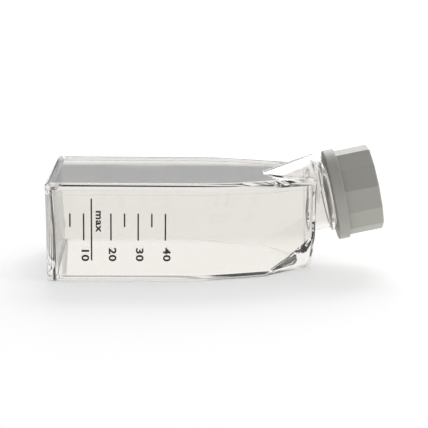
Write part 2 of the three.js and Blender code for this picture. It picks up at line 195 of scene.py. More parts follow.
# From the neck's own frame, whose +Z runs out along it, to the flask's
NECK_FRAME = Matrix.Translation((NECK_X, 0, NECK_Z)) @ Matrix.Rotation(math.pi / 2 - NECK_TILT, 4, "Y")


# ------------------------------------------------------------- small helpers

def lerp(a, b, t):
    return a + (b - a) * t


def clamp(value, low, high):
    return max(low, min(high, value))


def corner_loss(distance, radius):
    """What a corner of the given radius takes off, at a distance from its face."""
    rest = clamp(radius - distance, 0, radius)
    return radius - math.sqrt(radius * radius - rest * rest)


def rounded(corners, arc_points=8, closed=True):
    """Points along an outline through corners (x, y, radius), each rounded by its radius."""
    points = []
    for i, (x, y, radius) in enumerate(corners):
        here = Vector((x, y))
        if radius == 0:
            points.append(tuple(here))
            continue
        back = (Vector(corners[i - 1][:2]) - here).normalized()
        ahead = (Vector(corners[(i + 1) % len(corners)][:2]) - here).normalized()
        half = math.acos(clamp(back.dot(ahead), -1, 1)) / 2
        centre = here + (back + ahead).normalized() * (radius / math.sin(half))
        start = here + back * (radius / math.tan(half)) - centre
        turn = math.copysign(math.pi - 2 * half, ahead.x * back.y - ahead.y * back.x)
        for k in range(arc_points + 1):
            points.append(tuple(centre + Matrix.Rotation(turn * k / arc_points, 2) @ start))
    return points


def new_piece(name, mesh):
    """An object made from a bmesh in millimetres."""
    bmesh.ops.remove_doubles(mesh, verts=mesh.verts, dist=1e-5)
    bmesh.ops.dissolve_degenerate(mesh, edges=mesh.edges, dist=1e-6)
    bmesh.ops.recalc_face_normals(mesh, faces=mesh.faces)
    bmesh.ops.scale(mesh, vec=(MM, MM, MM), verts=mesh.verts)
    data = bpy.data.meshes.new(name)
    mesh.to_mesh(data)
    mesh.free()
    piece = bpy.data.objects.new(name, data)
    bpy.context.scene.collection.objects.link(piece)
    return piece


def lofted(name, rings):
    """A closed solid through rings of points, with its first and last rings filled."""
    mesh = bmesh.new()
    rows = [[mesh.verts.new(point) for point in ring] for ring in rings]
    for row, following in zip(rows, rows[1:]):
        for k in range(len(row)):
            mesh.faces.new((row[k - 1], row[k], following[k], following[k - 1]))
    mesh.faces.new(rows[0])
    mesh.faces.new(rows[-1])
    return new_piece(name, mesh)


def turned(name, profile, place=NECK_FRAME, segments=120):
    """A closed solid turned about an axis from a closed profile of (radius, along)."""
    mesh = bmesh.new()
    rows = []
    for k in range(segments):
        spin = place @ Matrix.Rotation(2 * math.pi * k / segments, 4, "Z")
        rows.append([mesh.verts.new(spin @ Vector((radius, 0, along))) for radius, along in profile])
    for k in range(segments):
        row, following = rows[k - 1], rows[k]
        for i in range(len(profile)):
            if profile[i - 1][0] > 0 or profile[i][0] > 0:
                mesh.faces.new((row[i - 1], row[i], following[i], following[i - 1]))
    return new_piece(name, mesh)


def combined(base, operation, *others):
    """base after each of the others is joined to it, cut from it or kept in common with it."""
    for other in others:
        step = base.modifiers.new("combine", "BOOLEAN")
        step.operation = operation
        step.solver = "MANIFOLD"
        step.object = other
    graph = bpy.context.evaluated_depsgraph_get()
    data = bpy.data.meshes.new_from_object(base.evaluated_get(graph))
    base.modifiers.clear()
    base.data = data
    for other in others:
        bpy.data.objects.remove(other)
    return base


def smoothed(piece):
    """Smooth shading that breaks where faces meet at more than the sharpest smooth angle."""
    mesh = bmesh.new()
    mesh.from_mesh(piece.data)
    bmesh.ops.dissolve_limit(
        mesh, angle_limit=math.radians(0.05), verts=mesh.verts, edges=mesh.edges)
    for face in mesh.faces:
        face.smooth = True
    for edge in mesh.edges:
        edge.smooth = len(edge.link_faces) == 2 and edge.calc_face_angle() < SHARPEST
    mesh.to_mesh(piece.data)
    mesh.free()
    normals = piece.modifiers.new("flat faces stay flat", "WEIGHTED_NORMAL")
    normals.keep_sharp = True
    return piece


# ------------------------------------------------------------------ the tray

class Form:
    """A surface of the tray: how far it is moved in, its draft and its corners at the end wall."""

    def __init__(self, inset, back, draft=DRAFT,
                 width=NOSE_SWEEP_WIDTH, height=NOSE_SWEEP_HEIGHT, bow=NOSE_BOW):
        self.inset = inset
        self.back = back
        self.draft = draft
        self.width = width
        self.height = height
        self.bow = bow


OUTSIDE = Form(0, 0)
CAVITY = Form(WALL, BACK_WALL, CAVITY_DRAFT, BEVEL_WIDTH, BEVEL_HEIGHT, 0)


def shoulder_x(t):
    """Where the tapered sides begin, at height fraction t of the tray."""
    return BACK_X + PLATE_SHOULDER - SHOULDER_SLANT * (1 - t)


def back_wall_x(t, form):
    """A form's back face at height fraction t."""
    return BACK_X + PLATE_LIP + form.back + form.draft * (1 - t)


def half_width(x, t, form):
    """Half-width of a form at x and height fraction t."""
    slope = (TRAY_HALF - TRAY_NOSE_HALF) / (END_X - shoulder_x(t))
    past = x - shoulder_x(t)
    soft = math.hypot(past, SHOULDER_SOFTNESS)
    local_slope = slope * (1 + past / soft) / 2
    back_corner = max(BACK_CORNER_R - form.inset, SMALLEST_FILLET)
    nose_corner = max(NOSE_CORNER_R - form.inset, SMALLEST_FILLET / 2)
    return (TRAY_HALF - form.draft * (1 - t) - slope * (past + soft) / 2
            - form.inset * math.hypot(1, local_slope)
            - corner_loss(x - back_wall_x(t, form), back_corner)
            - corner_loss(END_X - form.inset - x, nose_corner))


def tray_stations():
    """Places along the tray: 0 at the back wall, 1 at the shoulder, 2 at the end wall."""
    stations = {0.2, 0.35, 0.5, 0.65}
    for k in range(13):
        bend = 1 - math.cos(k / 12 * math.pi / 2)
        stations.add(BACK_CORNER_R * bend / PLATE_SHOULDER)
        stations.add(2 - NOSE_CORNER_R * bend / TAPER_LENGTH)
    for k in range(15):
        stations.add(1 - k / 14 * 4 * SHOULDER_SOFTNESS / PLATE_SHOULDER)
        stations.add(1 + k / 14 * 3 * SHOULDER_SOFTNESS / TAPER_LENGTH)
    sweep_from = 2 - NOSE_SWEEP / (TAPER_LENGTH + SHOULDER_SLANT)
    sweep_to = 2 - NOSE_CORNER_R / TAPER_LENGTH
    for k in range(40):
        stations.add(lerp(sweep_from, sweep_to, k / 40))
    return sorted(stations)


def station_x(station, t, form):
    """The x of a station on a form at height fraction t."""
    if station < 1:
        return lerp(back_wall_x(t, form), shoulder_x(t), station)
    return lerp(shoulder_x(t), END_X - form.inset, station - 1)


def tray_section(station, form, low, high):
    """One ring of a form: a floor, two rounded lower corners and two leaning walls."""
    base_x = station_x(station, 0, form)
    sweep = clamp((base_x - END_X + NOSE_SWEEP) / NOSE_SWEEP, 0, 1)
    wide = lerp(BASE_EDGE_R, form.width, sweep) - form.inset
    tall = lerp(BASE_EDGE_R, form.height, sweep) - form.inset
    corner_wide = clamp(wide, SMALLEST_FILLET, half_width(base_x, 0, form) - SMALLEST_FLAT)
    back_edge = max(BASE_EDGE_R - form.inset, SMALLEST_FILLET)
    lift = (corner_loss(base_x - back_wall_x(0, form), back_edge)
            + corner_loss(END_X - form.inset - base_x, FRONT_EDGE_R - form.inset))
    foot = low + lift
    corner_top = max(low + tall, foot + SMALLEST_FILLET)
    bow = lerp(1, form.bow, min(sweep / BOW_PART, 1))
    outline = []
    for k in range(21):
        turn = k / 20
        out = 2 * turn * (1 - turn) * bow + turn * turn
        outline.append((out, lerp(foot, corner_top, turn * turn)))
    for k in range(1, 7):
        outline.append((1, lerp(corner_top, high, k / 6)))
    side = []
    for out, z in outline:
        x = station_x(station, z / SEAM_Z, form)
        side.append((x, half_width(x, z / SEAM_Z, form) - corner_wide * (1 - out), z))
    return side + [(x, -y, z) for x, y, z in reversed(side)]


def tray_form(form, low, high):
    """A form of the tray as a closed solid from z = low to z = high."""
    return lofted("tray form", [tray_section(s, form, low, high) for s in tray_stations()])


def block(from_x, to_x, from_z, to_z):
    """A plain block between two x and two z, wider than the flask, used to cut with."""
    half = PLATE_WIDTH
    ring = [(-half, from_z), (half, from_z), (half, to_z), (-half, to_z)]
    return lofted("block", [[(x, y, z) for y, z in ring] for x in (from_x, to_x)])


def roof_form(inset, foot, to):
    """The raised roof's form, its surface moved in by inset, standing on z = foot."""
    half = ROOF_HALF - inset
    rise = ROOF_RISE - inset
    radius = (half * half + rise * rise) / (2 * rise)
    spring = math.asin(half / radius)
    start = END_X - ROOF_LENGTH + inset
    rings = []
    for step in range(41):
        along = (to - start) * (1 - math.cos(step / 40 * math.pi / 2))
        share = clamp(along / (END_X - start), ROOF_TIP, 1)
        spread = math.sqrt(1 - (1 - share) ** 2)
        ring = [(start + along, -half * spread, foot), (start + along, half * spread, foot)]
        for k in range(49):
            angle = lerp(spring, -spring, k / 48)
            height = rise - radius * (1 - math.cos(angle))
            ring.append((start + along, radius * math.sin(angle) * spread, DECK_Z + height * share))
        rings.append(ring)
    return lofted("roof form", rings)


def thread_ribs(wall, height, start_at):
    """The thread's ribs on a wall of radius wall; height < 0 points inwards."""
    foot = -math.copysign(THREAD_SUNK, height)
    chamfer_at = height - math.copysign(THREAD_CHAMFER, height)
    profile = [
        (foot, -THREAD_ROOT / 2), (chamfer_at, -THREAD_CREST / 2 - THREAD_CHAMFER_FROM),
        (height, -THREAD_CREST / 2 + THREAD_CHAMFER_TO), (height, THREAD_CREST / 2 - THREAD_CHAMFER_TO),
        (chamfer_at, THREAD_CREST / 2 + THREAD_CHAMFER_FROM), (foot, THREAD_ROOT / 2),
    ]
    ribs = []
    for start in range(THREAD_STARTS):
        rings = []
        for step in range(73):
            turn = step / 72 * THREAD_TURN
            fade = clamp(min(turn, THREAD_TURN - turn) / THREAD_FADE, THREAD_TIP, 1)
            angle = math.radians(turn + start * 360 / THREAD_STARTS)
            ring = []
            for out, along in profile:
                radius = wall + (out * fade if out * height > 0 else out)
                rise = start_at + along + THREAD_LEAD * turn / 360
                ring.append(NECK_FRAME @ Vector((radius * math.cos(angle), radius * math.sin(angle), rise)))
            rings.append(ring)
        ribs.append(lofted("rib", rings))
    return ribs


def make_tray():
    """The tray: floor, walls and end wall, with the threaded neck moulded on."""
    end_arch = combined(
        roof_form(ROOF_WALL + SEAT_GAP, SEAM_Z - OVERRUN, END_X), "INTERSECT",
        block(END_X - WALL, END_X, 0, 2 * FLASK_HEIGHT))
    root_at = -2 * (NECK_X - END_X) - NECK_R
    bead_to = -NECK_BEAD_GAP
    bead_from = bead_to - NECK_BEAD_WIDTH
    tube = turned("tube", [(0, root_at)] + rounded([
        (NECK_R, root_at, 0), (NECK_R, bead_from - NECK_BEAD_FLANK, SMALL_R),
        (BEAD_R, bead_from, NECK_EDGE_R), (BEAD_R, bead_to, NECK_EDGE_R),
        (NECK_R, bead_to + NECK_BEAD_FLANK, SMALL_R),
        (NECK_R, MOUTH_AT, NECK_EDGE_R), (BORE_R - SMALL_R, MOUTH_AT, 0),
    ]) + [(0, MOUTH_AT)])
    tube = combined(
        tube, "DIFFERENCE",
        block(-2 * PLATE_LENGTH, END_X - WALL / 2, -FLASK_HEIGHT, 2 * FLASK_HEIGHT))
    bore = turned("bore", [(0, root_at - OVERRUN), (BORE_R, root_at - OVERRUN)] + rounded([
        (BORE_R, MOUTH_AT - MOUTH_FLARE, SMALL_R), (BORE_R + MOUTH_FLARE, MOUTH_AT, 0),
        (BORE_R + MOUTH_FLARE, MOUTH_AT + OVERRUN, 0),
    ]) + [(0, MOUTH_AT + OVERRUN)])
    tray = tray_form(OUTSIDE, 0, SEAM_Z - WELD_GAP)
    tray.name = "flask_body"
    combined(tray, "UNION", end_arch)
    combined(tray, "DIFFERENCE", tray_form(CAVITY, FLOOR, UNDER_DECK))
    combined(tray, "UNION", tube, *thread_ribs(NECK_R, THREAD_HEIGHT, THREAD_FROM))
    combined(tray, "DIFFERENCE", bore)
    return tray


# ------------------------------------------------------------- the top plate

def plate_ring(inset, z):
    """The plate's outline moved in by inset, as a ring at height z."""
    form = Form(inset - PLATE_LIP, inset - PLATE_LIP)
    side = [(station_x(s, 1, form), half_width(station_x(s, 1, form), 1, form)) for s in tray_stations()]
    return [(x, y, z) for x, y in side] + [(x, -y, z) for x, y in reversed(side)]


def make_collar():
    """The half collar: a ring whose front face leans back towards its two ends."""
    rings = []
    for step in range(73):
        angle = lerp(COLLAR_END_ANGLE, math.pi - COLLAR_END_ANGLE, step / 72)
        mid_r = COLLAR_R - COLLAR_WALL / 2
        below = max(0, COLLAR_R / 2 - mid_r * math.sin(angle))
        depth = max(COLLAR_LENGTH - below * math.tan(COLLAR_UNDERCUT), COLLAR_LENGTH * COLLAR_TIP)
        section = rounded([
            (COLLAR_R - COLLAR_WALL, 0, 0), (COLLAR_R, 0, 0),
            (COLLAR_R, depth, COLLAR_EDGE_R), (COLLAR_R - COLLAR_WALL, depth, COLLAR_EDGE_R),
        ], arc_points=5)
        rings.append([
            (COLLAR_X + x, r * math.cos(angle), COLLAR_Z + r * math.sin(angle)) for r, x in section])
    return lofted("collar", rings)


def make_plate():
    """The top plate: deck, stacking rim, the walls' upper edge, raised roof and half collar."""
    profile = rounded([
        (RIM_TOP + OVERRUN, SEAM_Z, 0), (PLATE_DRAFT, SEAM_Z, SEAM_EDGE_R),
        (2 * PLATE_DRAFT, FLASK_HEIGHT - RIM_BEVEL_HEIGHT, RIM_BEVEL_R),
        (RIM_BEVEL_WIDTH, FLASK_HEIGHT + RIM_LEAN, RIM_BEVEL_R),
        (RIM_TOP, FLASK_HEIGHT, RIM_INNER_R), (RIM_TOP, DECK_Z, RIM_INNER_R),
        (RIM_TOP + OVERRUN, DECK_Z, 0),
    ], arc_points=6)
    plate = lofted("flask_top", [plate_ring(inset, z) for inset, z in profile])
    combined(plate, "UNION", roof_form(0, DECK_Z - DECK_THICKNESS / 2, END_X + ROOF_LIP))
    roof_hollow = roof_form(ROOF_WALL, SEAM_Z - OVERRUN, END_X + ROOF_LIP + OVERRUN)
    combined(plate, "DIFFERENCE", roof_hollow, tray_form(CAVITY, FLOOR, UNDER_DECK))
    combined(plate, "UNION", make_collar())
    return plate


# ------------------------------------------------------------------- the cap

def facet_ring(inset, along):
    """The cap's twelve-sided outline moved in by inset, as a ring across the neck's axis."""
    radius = CAP_VERTEX_R - inset / math.cos(math.pi / CAP_FACETS)
    ridge = max(CAP_RIDGE_R - inset * CAP_RIDGE_FADE, CAP_RIDGE_LEAST_R)
    corners = []
    for k in range(CAP_FACETS):
        angle = 2 * math.pi * k / CAP_FACETS + CAP_FACET_TURN
        corners.append((radius * math.cos(angle), radius * math.sin(angle), ridge))
    return [NECK_FRAME @ Vector((x, y, along)) for x, y in rounded(corners, arc_points=6)]


def make_cap():
    """The cap: threaded and vented, with a ring inside that closes on the neck's mouth."""
    end = rounded([
        (0, CAP_RING_LENGTH / 2, 0), (0, CAP_LENGTH, CAP_EDGE_R), (CAP_FACE_INSET, CAP_LENGTH, 0),
    ])
    cap = lofted("vented_cap", [facet_ring(inset, along) for inset, along in end])
    ring = turned("ring", [(0, 0)] + rounded([
        (CAP_RING_R - OVERRUN, 0, 0), (CAP_RING_R, 0, SMALL_R),
        (CAP_RING_R, CAP_RING_LENGTH, SMALL_R), (CAP_RING_R - 1.5 * OVERRUN, CAP_RING_LENGTH, 0),
    ]) + [(0, CAP_RING_LENGTH)], segments=180)
    bore = turned("bore", [(0, -OVERRUN), (CAP_BORE_R + SMALL_R, -OVERRUN)] + rounded([
        (CAP_BORE_R + SMALL_R, 0, 0), (CAP_BORE_R, SMALL_R, SMALL_R / 3), (CAP_BORE_R, CAP_END_AT, SMALL_R),
    ]) + [(0, CAP_END_AT)])
    seal_from, seal_to = CAP_END_AT - SEAL_LENGTH, CAP_END_AT + CAP_END / 4
    seal = turned("seal", rounded([
        (BORE_R, seal_from, SEAL_EDGE_R), (BORE_R + SEAL_WIDTH, seal_from, SEAL_EDGE_R),
        (BORE_R + SEAL_WIDTH, seal_to, 0), (BORE_R, seal_to, 0),
    ]))
    dish = turned("dish", [(0, CAP_LENGTH - DISH_DEPTH)] + rounded([
        (DISH_R - DISH_DEPTH, CAP_LENGTH - DISH_DEPTH, SMALL_R), (DISH_R, CAP_LENGTH, DISH_EDGE_R),
        (DISH_R + OVERRUN, CAP_LENGTH + OVERRUN / 4, 0),
    ]) + [(0, CAP_LENGTH + OVERRUN / 4)])
    ribs = thread_ribs(CAP_BORE_R, -THREAD_HEIGHT, THREAD_FROM - THREAD_PITCH / 2)
    vents = []
    for k in range(VENT_COUNT + 1):
        angle = 2 * math.pi * k / VENT_COUNT
        reach = VENT_CIRCLE_R if k < VENT_COUNT else 0
        place = NECK_FRAME @ Matrix.Translation((reach * math.cos(angle), reach * math.sin(angle), 0))
        low, high = CAP_END_AT - OVERRUN, CAP_LENGTH + OVERRUN
        vents.append(turned("vent", [(0, low), (VENT_R, low), (VENT_R, high), (0, high)], place, 40))
    combined(cap, "UNION", ring)
    combined(cap, "DIFFERENCE", bore)
    combined(cap, "UNION", seal, *ribs)
    combined(cap, "DIFFERENCE", dish, *vents)
    return cap


# ---------------------------------------------------------- the printed scale

PRINT_LIFT = 0.02  # ink stands off the wall by this much
PRINT_DEPTH = 0.03
MARK_WIDTH = 0.44
MARK_CORNER_R = 0.08
MARK_TOP = 20.4
SHORT_MARK_END = 16.4
LONG_MARK_END = 12.4
FIRST_MARK = BACK_X + 7.41
MARK_SPACING = 3.95
LIMIT_X = BACK_X + 13.62
LIMIT_TOP = 24.8
LIMIT_END = 6.4
NUMBER_Z = 8.2
NUMBER_HEIGHT = 2.05
NUMBER_SHIFT = 0.45
NUMBER_STRETCH = 1.3
WORD_SHIFT = 2
WORD_Z = 18.15
WORD_HEIGHT = 2.0
WORD_STRETCH = 1.2
LETTER_SPACING = 1.1
LETTER_WEIGHT = 0.09
DIGIT_SHARE = 0.69  # a digit's height as a share of the typeface's size


def wall_y(z):
    """The near side wall's outer face at height z."""
    return -(TRAY_HALF - DRAFT * (1 - z / SEAM_Z))


def on_wall(x, z, lift):
    return (x, wall_y(z) - lift, z)


def printed_line(mesh, x, top, end):
    """Adds one printed line, across the wall from z = end to z = top."""
    left, right = x - MARK_WIDTH / 2, x + MARK_WIDTH / 2
    corners = rounded([
        (left, end, MARK_CORNER_R), (right, end, MARK_CORNER_R),
        (right, top, MARK_CORNER_R), (left, top, MARK_CORNER_R),
    ], arc_points=3)
    rows = [[mesh.verts.new(on_wall(u, v, lift)) for u, v in corners]
            for lift in (PRINT_LIFT, PRINT_LIFT + PRINT_DEPTH)]
    for k in range(len(corners)):
        mesh.faces.new((rows[0][k - 1], rows[0][k], rows[1][k], rows[1][k - 1]))
    mesh.faces.new(rows[0])
    mesh.faces.new(rows[1])


def printed_text(name, words, height, x, z, stretch):
    """Lettering that reads down the wall, centred at x and z."""
    curve = bpy.data.curves.new(name, "FONT")
    curve.body = words
    curve.size = height / DIGIT_SHARE
    curve.space_character = LETTER_SPACING
    curve.offset = LETTER_WEIGHT
    curve.align_x = "CENTER"
    curve.extrude = PRINT_DEPTH / 2
    curve.resolution_u = 4
    source = bpy.data.objects.new(name, curve)
    bpy.context.scene.collection.objects.link(source)
    graph = bpy.context.evaluated_depsgraph_get()
    data = bpy.data.meshes.new_from_object(source.evaluated_get(graph))
    bpy.data.objects.remove(source)
    mesh = bmesh.new()
    mesh.from_mesh(data)
    middle = (max(v.co.y for v in mesh.verts) + min(v.co.y for v in mesh.verts)) / 2
    for vert in mesh.verts:
        across, up, out = vert.co
        vert.co = on_wall(x + up - middle, z - across * stretch, PRINT_LIFT + PRINT_DEPTH / 2 + out)
    return new_piece(name, mesh)


def make_scale():
    """Marks every 5 mL, numbers every 10 mL, and the filling limit in place of the 15 mL mark."""
    marks = bmesh.new()
    pieces = []
    for volume in (5, 10, 20, 25, 30, 35, 40):
        x = FIRST_MARK + (volume / 5 - 1) * MARK_SPACING
        long = volume % 10 == 0
        printed_line(marks, x, MARK_TOP, LONG_MARK_END if long else SHORT_MARK_END)
        if long:
            pieces.append(printed_text(
                f"number_{volume}", str(volume), NUMBER_HEIGHT,
                x + NUMBER_SHIFT, NUMBER_Z, NUMBER_STRETCH))
    printed_line(marks, LIMIT_X, LIMIT_TOP, LIMIT_END)
    pieces.append(new_piece("scale_marks", marks))
    pieces.append(printed_text(
        "limit_word", "max", WORD_HEIGHT, LIMIT_X + WORD_SHIFT, WORD_Z, WORD_STRETCH))
    return pieces


# ----------------------------------------------------------------- materials

def linear(hex_colour):
    """An sRGB hex value as linear red, green, blue and alpha."""
    channels = []
    for k in (0, 2, 4):
        c = int(hex_colour[k:k + 2], 16) / 255
        channels.append(c / 12.92 if c <= 0.04045 else ((c + 0.055) / 1.055) ** 2.4)
    return (*channels, 1)


def node(tree, kind, settings=None, inputs=None):
    """Adds a node; inputs that are sockets are linked, the others set."""
    added = tree.nodes.new(kind)
    for name, value in (settings or {}).items():
        setattr(added, name, value)
    for name, value in (inputs or {}).items():
        if isinstance(value, bpy.types.NodeSocket):
            tree.links.new(value, added.inputs[name])
        else:
            added.inputs[name].default_value = value
    return added


def new_material(name):
    material = bpy.data.materials.new(name)
    material.use_nodes = True
    material.node_tree.nodes.clear()
    return material, material.node_tree


def clear_polystyrene():
    """Moulded crystal polystyrene: glass-clear, with the faint ripple that cooling leaves."""
    material, tree = new_material("moulded crystal polystyrene")
    place = node(tree, "ShaderNodeTexCoord").outputs["Object"]
    ripple = node(tree, "ShaderNodeTexNoise", None, {
        "Vector": place, "Scale": 1 / (9 * MM), "Detail": 2.0})
    bump = node(tree, "ShaderNodeBump", None, {
        "Strength": 0.05, "Distance": 0.01 * MM, "Height": ripple.outputs["Fac"]})
    shader = node(tree, "ShaderNodeBsdfPrincipled", None, {
        "Base Color": linear("FAF9F7"), "Roughness": 0.0, "IOR": 1.59,
        "Transmission Weight": 1.0, "Normal": bump.outputs["Normal"]})
    node(tree, "ShaderNodeOutputMaterial", None, {"Surface": shader.outputs["BSDF"]})
    return material


def grey_polyethylene():
    """Injection-moulded polyethylene: a warm grey, satin from a fine spark-eroded mould."""
    material, tree = new_material("moulded grey polyethylene")
    place = node(tree, "ShaderNodeTexCoord").outputs["Object"]
    grain = node(tree, "ShaderNodeTexNoise", None, {
        "Vector": place, "Scale": 1 / (0.35 * MM), "Detail": 3.0})
    flow = node(tree, "ShaderNodeTexNoise", None, {
        "Vector": place, "Scale": 1 / (7 * MM), "Detail": 2.0})
    tone = node(tree, "ShaderNodeMix", {"data_type": "RGBA"}, {
        "Factor": flow.outputs["Fac"], "A": linear("ABAAA2"), "B": linear("B1AFA8")})
    sheen = node(tree, "ShaderNodeMapRange", None, {
        "Value": grain.outputs["Fac"], "To Min": 0.42, "To Max": 0.52})
    bump = node(tree, "ShaderNodeBump", None, {
        "Strength": 0.15, "Distance": 0.02 * MM, "Height": grain.outputs["Fac"]})
    shader = node(tree, "ShaderNodeBsdfPrincipled", None, {
        "Base Color": tone.outputs["Result"], "Roughness": sheen.outputs["Result"], "IOR": 1.54,
        "Normal": bump.outputs["Normal"]})
    node(tree, "ShaderNodeOutputMaterial", None, {"Surface": shader.outputs["BSDF"]})
    return material


def white_membrane():
    """Filter film: matte white, felted from fibres a few microns wide, drawn coarser to show."""
    material, tree = new_material("porous filter film")
    place = node(tree, "ShaderNodeTexCoord").outputs["Object"]
    fibres = node(tree, "ShaderNodeTexNoise", None, {
        "Vector": place, "Scale": 1 / (0.12 * MM), "Detail": 4.0})
    tone = node(tree, "ShaderNodeMix", {"data_type": "RGBA"}, {
        "Factor": fibres.outputs["Fac"], "A": linear("E8E8E4"), "B": linear("F4F4F1")})
    bump = node(tree, "ShaderNodeBump", None, {
        "Strength": 0.3, "Distance": 0.03 * MM, "Height": fibres.outputs["Fac"]})
    shader = node(tree, "ShaderNodeBsdfPrincipled", None, {
        "Base Color": tone.outputs["Result"], "Roughness": 0.9, "Normal": bump.outputs["Normal"]})
    node(tree, "ShaderNodeOutputMaterial", None, {"Surface": shader.outputs["BSDF"]})
    return material


def printing_ink():
    """Pad-printed ink: nearly black and matte, a little thinner in places."""
    material, tree = new_material("pad-printed black ink")
    place = node(tree, "ShaderNodeTexCoord").outputs["Object"]
    cover = node(tree, "ShaderNodeTexNoise", None, {
        "Vector": place, "Scale": 1 / (0.4 * MM), "Detail": 3.0})
    tone = node(tree, "ShaderNodeMix", {"data_type": "RGBA"}, {
        "Factor": cover.outputs["Fac"], "A": linear("1A1716"), "B": linear("2B2826")})
    shader = node(tree, "ShaderNodeBsdfPrincipled", None, {
        "Base Color": tone.outputs["Result"], "Roughness": 0.55})
    node(tree, "ShaderNodeOutputMaterial", None, {"Surface": shader.outputs["BSDF"]})
    return material


def paint(piece, material):
    piece.data.materials.clear()
    piece.data.materials.append(material)


# ------------------------------------------------------- floor, light, camera

FLOOR_SIZE = 8.0
FLOOR_SINK = 0.05  # below the base, so that the two don't touch
FLOOR_COLOUR = "EEEEEE"
FLOOR_GLOW = 0.43  # the part of the floor's white that no shadow takes away

# The floor as it shows through the clear flask: a warm white with a painted pool of light, brightest under
# the base, and a painted dark patch behind the flask's back end, which gives that corner its dark lines
TABLE_COLOUR = "F1EFEC"
# A painted pool of light: the floor seen through the flask glows brightest within the first half-width,
# falling to the outside glow past the second
PAINTED_POOL_GLOW = 1.15
PAINTED_POOL_HALF = 17
POOL_OUTSIDE_GLOW = 0.97
POOL_OUTSIDE_HALF = 31
# A painted dark patch on the floor behind the back end, seen only through the clear plastic: its glow,
# place and fades
DARK_PATCH_GLOW = 0.1
DARK_PATCH_X = -45
DARK_PATCH_FADE = 7
DARK_PATCH_END = -110
DARK_PATCH_END_FADE = 20
DARK_PATCH_HALF = 38
DARK_PATCH_HALF_FADE = 10

# The backdrop and the light screen above it, in degrees above the horizon
SKYLINE = 9.68
SKYLINE_FADE = 0.1
GAP_TOP = 11.2
GAP_FADE = 0.8
SCREEN_TOP = 16
SCREEN_FADE = 6
ZENITH_FROM = 25
ZENITH_TO = 75

# The screen's bearings, as sines from straight behind the flask. Its middle and its right
# side are tall, as clear plastic shows them
SCREEN_LEFT = -0.25
SCREEN_LEFT_FADE = 0.15
MIDDLE_LEFT = -0.045
MIDDLE_RIGHT = 0.1
MIDDLE_FADE = 0.035
RIGHT_SIDE = 0.3
RIGHT_FADE = 0.05
BEHIND_FADE = 0.2

STUDIO = "595959"  # the dark studio as light
DUSK = "868B95"  # the same in gloss
NIGHT = "3A3D42"  # and through clear plastic
ZENITH = "CBCBCB"

# The camera: its place in metres, its lens in millimetres and its angles in radians
CAMERA_PLACE = (-0.00642, -0.42810, 0.10388)
CAMERA_LENS = 119.46
CAMERA_PITCH = 0.2039
CAMERA_YAW = 0.0384
CAMERA_ROLL = -0.0127


def sine(degrees):
    return math.sin(math.radians(degrees))


def make_floor():
    """A lit white floor that takes a shadow; seen through the flask it glows instead, with a painted pool
    of light under the base and a painted dark patch behind the back end.
    """
    mesh = bmesh.new()
    half = FLOOR_SIZE / 2
    corners = [(-half, -half, 0), (half, -half, 0), (half, half, 0), (-half, half, 0)]
    mesh.faces.new([mesh.verts.new(Vector(c) / MM) for c in corners])
    floor = new_piece("floor", mesh)
    floor.location.z = -FLOOR_SINK * MM
    material, tree = new_material("white floor")
    rays = node(tree, "ShaderNodeLightPath")
    place = node(tree, "ShaderNodeTexCoord").outputs["Object"]
    parts = node(tree, "ShaderNodeSeparateXYZ", None, {"Vector": place})
    reach = node(tree, "ShaderNodeMath", {"operation": "ABSOLUTE"}, {0: parts.outputs["Y"]})
    # A painted pool of light under the base, for the floor seen through the flask
    painted_light_pool = node(tree, "ShaderNodeMapRange", {"interpolation_type": "SMOOTHSTEP"}, {
        "Value": reach.outputs[0], "From Min": PAINTED_POOL_HALF * MM, "From Max": POOL_OUTSIDE_HALF * MM,
        "To Min": PAINTED_POOL_GLOW, "To Max": POOL_OUTSIDE_GLOW})
    # A painted dark patch behind the back end, shown only where the floor is seen through the clear plastic
    painted_dark_patch = 1.0
    for place_along, start, end in (
            (parts.outputs["X"], DARK_PATCH_X, DARK_PATCH_X - DARK_PATCH_FADE),
            (reach.outputs[0], DARK_PATCH_HALF + DARK_PATCH_HALF_FADE, DARK_PATCH_HALF),
            (parts.outputs["X"], DARK_PATCH_END - DARK_PATCH_END_FADE, DARK_PATCH_END)):
        step = node(tree, "ShaderNodeMapRange", {"interpolation_type": "SMOOTHSTEP"}, {
            "Value": place_along, "From Min": start * MM, "From Max": end * MM})
        painted_dark_patch = node(tree, "ShaderNodeMath", {"operation": "MULTIPLY"}, {
            0: painted_dark_patch, 1: step.outputs["Result"]}).outputs[0]
    strength = node(tree, "ShaderNodeMix", {"data_type": "FLOAT"}, {
        "Factor": painted_dark_patch, "A": painted_light_pool.outputs["Result"], "B": DARK_PATCH_GLOW})
    base = node(tree, "ShaderNodeBsdfDiffuse", None, {"Color": linear(FLOOR_COLOUR)})
    glow = node(tree, "ShaderNodeEmission", None, {"Color": (1, 1, 1, 1), "Strength": FLOOR_GLOW})
    lit = node(tree, "ShaderNodeAddShader", None, {0: base.outputs[0], 1: glow.outputs[0]})
    shine = node(tree, "ShaderNodeEmission", None, {
        "Color": linear(TABLE_COLOUR), "Strength": strength.outputs["Result"]})
    mix = node(tree, "ShaderNodeMixShader", None, {
        0: rays.outputs["Is Transmission Ray"], 1: lit.outputs[0], 2: shine.outputs[0]})
    node(tree, "ShaderNodeOutputMaterial", None, {"Surface": mix.outputs[0]})
    paint(floor, material)


